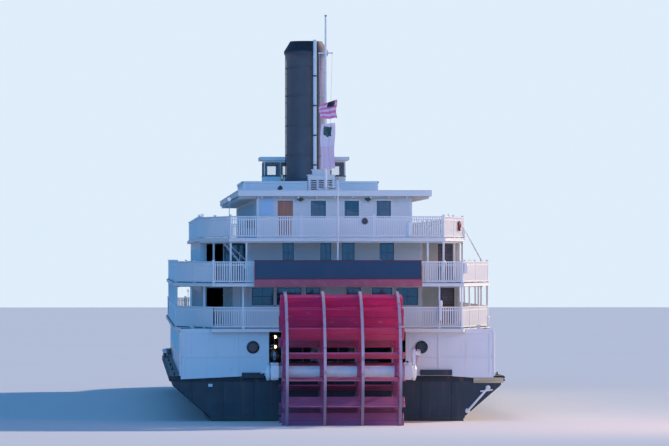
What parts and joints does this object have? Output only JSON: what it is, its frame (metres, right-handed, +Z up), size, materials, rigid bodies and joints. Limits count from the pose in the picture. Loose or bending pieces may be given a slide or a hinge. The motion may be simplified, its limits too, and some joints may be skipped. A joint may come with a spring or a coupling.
{
  "type": "1:10 scale model of a sternwheel paddle steamer",
  "caption": "Sternwheel river steamer at one tenth size: black hull, white decks with railings, red paddle wheel at the stern, tall black funnel, pilothouse and rudders.",
  "frame": {"origin": "centre of the flat bottom's level, under the middle of the whole length", "axes": "+Y towards the bow, +X to starboard, +Z up"},
  "size_m": [1.73, 8.69, 2.41],
  "materials": {
    "black_hull": "satin black-blue hull paint, streaked with rust and lime near the guard",
    "deck_paint": "matt grey deck paint with white edges",
    "white_paint": "satin white paint on lapped siding and plate, with faint streaks",
    "rail_paint": "white paint on railings",
    "roof_paint": "weathered white roof paint",
    "funnel_black": "satin black stack paint",
    "mast_paint": "gloss white paint",
    "sign_navy": "satin navy board with a gilt border, and a maroon fascia",
    "steel": "dull grey steel",
    "rudder_steel": "dark bottom paint",
    "wheel_red": "crimson painted boards, wet and darker below",
    "rim_white": "pinkish white painted rims and arms",
    "door_orange": "varnished orange-brown wood",
    "flag_striped": "woven bunting, red and white stripes",
    "flag_plain": "woven bunting, green and white",
    "glass": "dark window glass",
    "lamp_glass": "opal lamp glass",
    "brass": "polished brass",
    "maroon_trim": "maroon trim paint"
  },
  "bodies": {
    "ship": {"hull": "black_hull", "bow_bulwark": "black_hull", "main_deck": "deck_paint", "saloon_deck": "deck_paint", "observation_deck": "deck_paint", "texas_deck": "deck_paint", "wheel_timber_port": "white_paint", "wheel_timber_starboard": "white_paint", "stern_beam": "white_paint", "main_house_port": "white_paint", "main_house_starboard": "white_paint", "main_house_fore": "white_paint", "stern_walls": "white_paint", "texas_deck_posts": "white_paint", "saloon_wall_port": "white_paint", "saloon_wall_starboard": "white_paint", "saloon_wall_aft": "white_paint", "saloon_wall_fore": "white_paint", "observation_wall_port": "white_paint", "observation_wall_starboard": "white_paint", "observation_wall_aft": "white_paint", "observation_wall_fore": "white_paint", "texas_wall_port": "white_paint", "texas_wall_starboard": "white_paint", "texas_wall_aft": "white_paint", "texas_wall_fore": "white_paint", "trunk": "white_paint", "vent_house": "white_paint", "pilothouse": "white_paint", "saloon_rail_port": "rail_paint", "saloon_rail_starboard": "rail_paint", "saloon_rail_aft": "rail_paint", "saloon_rail_fore": "rail_paint", "observation_rail_port": "rail_paint", "observation_rail_starboard": "rail_paint", "observation_rail_aft": "rail_paint", "observation_rail_fore": "rail_paint", "texas_rail_port": "rail_paint", "texas_rail_starboard": "rail_paint", "texas_rail_aft": "rail_paint", "texas_rail_fore": "rail_paint", "texas_roof": "roof_paint", "pilothouse_roof": "roof_paint", "funnel": "funnel_black", "steam_pipe": "mast_paint", "mast": "mast_paint", "flagstaff": "mast_paint", "sign_board": "sign_navy", "boilers": "steel", "flag_upper": "flag_striped", "flag_lower": "flag_plain"},
    "wheel": {"paddle_wheel": "wheel_red", "wheel_shaft": "mast_paint"},
    "rudder_middle": {"rudder_middle": "rudder_steel"},
    "rudder_port": {"rudder_port": "rudder_steel"},
    "rudder_starboard": {"rudder_starboard": "rudder_steel"},
    "texas_door": {"texas_door": "door_orange"},
    "boarding_door_port": {"boarding_door_port": "white_paint"},
    "boarding_door_starboard": {"boarding_door_starboard": "white_paint"}
  },
  "joints": [
    {"name": "wheel_turn", "type": "hinge", "parent": "ship", "child": "wheel", "pos_m": [0, -3.935, 0.495], "axis": [1, 0, 0], "continuous": true},
    {"name": "rudder_middle_turn", "type": "hinge", "parent": "ship", "child": "rudder_middle", "pos_m": [0, -3.215, 0.1], "axis": [0, 0, 1], "range_deg": [-40, 40]},
    {"name": "rudder_port_turn", "type": "hinge", "parent": "ship", "child": "rudder_port", "pos_m": [-0.33, -3.215, 0.1], "axis": [0, 0, 1], "range_deg": [-40, 40]},
    {"name": "rudder_starboard_turn", "type": "hinge", "parent": "ship", "child": "rudder_starboard", "pos_m": [0.33, -3.215, 0.1], "axis": [0, 0, 1], "range_deg": [-40, 40]},
    {"name": "texas_door_swing", "type": "hinge", "parent": "ship", "child": "texas_door", "pos_m": [-0.296, -3.0745, 1.28], "axis": [0, 0, -1], "range_deg": [0, 100]},
    {"name": "boarding_door_port_swing", "type": "hinge", "parent": "ship", "child": "boarding_door_port", "pos_m": [-0.8095, -0.122, 0.57], "axis": [0, 0, -1], "range_deg": [0, 100]},
    {"name": "boarding_door_starboard_swing", "type": "hinge", "parent": "ship", "child": "boarding_door_starboard", "pos_m": [0.8095, -0.122, 0.57], "axis": [0, 0, 1], "range_deg": [0, 100]}
  ],
  "couplings": [
    {"joint": "rudder_port_turn", "follows": "rudder_middle_turn", "ratio": 1},
    {"joint": "rudder_starboard_turn", "follows": "rudder_middle_turn", "ratio": 1}
  ]
}
